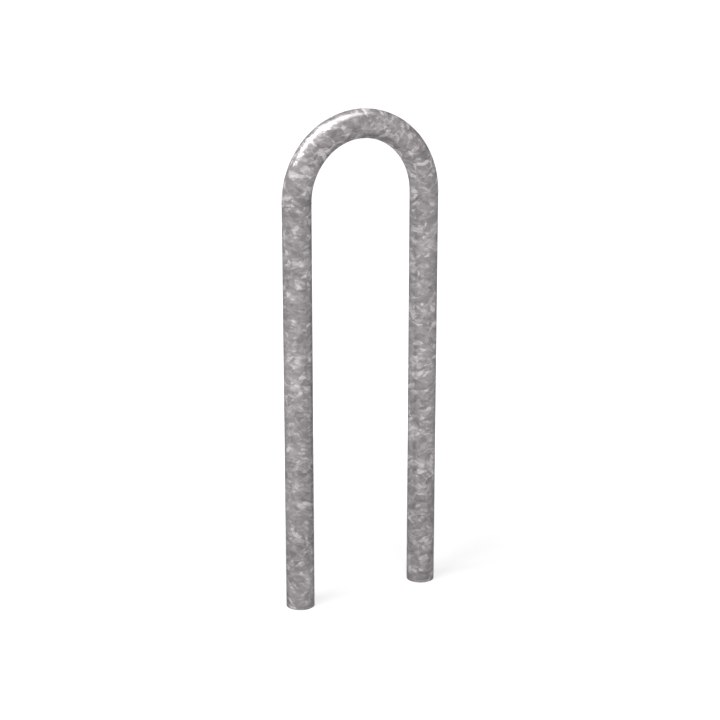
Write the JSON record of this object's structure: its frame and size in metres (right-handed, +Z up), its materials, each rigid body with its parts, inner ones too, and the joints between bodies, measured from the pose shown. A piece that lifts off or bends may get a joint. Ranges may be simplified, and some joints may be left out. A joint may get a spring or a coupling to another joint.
{
  "type": "hoop bike rack",
  "caption": "Inverted U hoop of plain galvanised steel tube for leaning and locking bicycles, with legs for casting into the ground.",
  "frame": {"origin": "midway between the two legs, at the height of their cut ends: the bottom centre of the box", "axes": "+X from the left leg to the right leg, +Y square to the plane of the hoop, +Z up the legs to the crown"},
  "size_m": [0.3608, 0.0608, 1.0454],
  "materials": {
    "galvanised_tube": "hot-dip galvanised, satin, mottled spangle",
    "galvanised_weld": "dressed weld under hot-dip galvanising, satin"
  },
  "bodies": {
    "root": {"left_leg": "galvanised_tube", "right_leg": "galvanised_tube", "left_shoulder_weld": "galvanised_weld", "right_shoulder_weld": "galvanised_weld", "left_bend": "galvanised_tube", "right_bend": "galvanised_tube", "crown_weld": "galvanised_weld"}
  },
  "joints": []
}
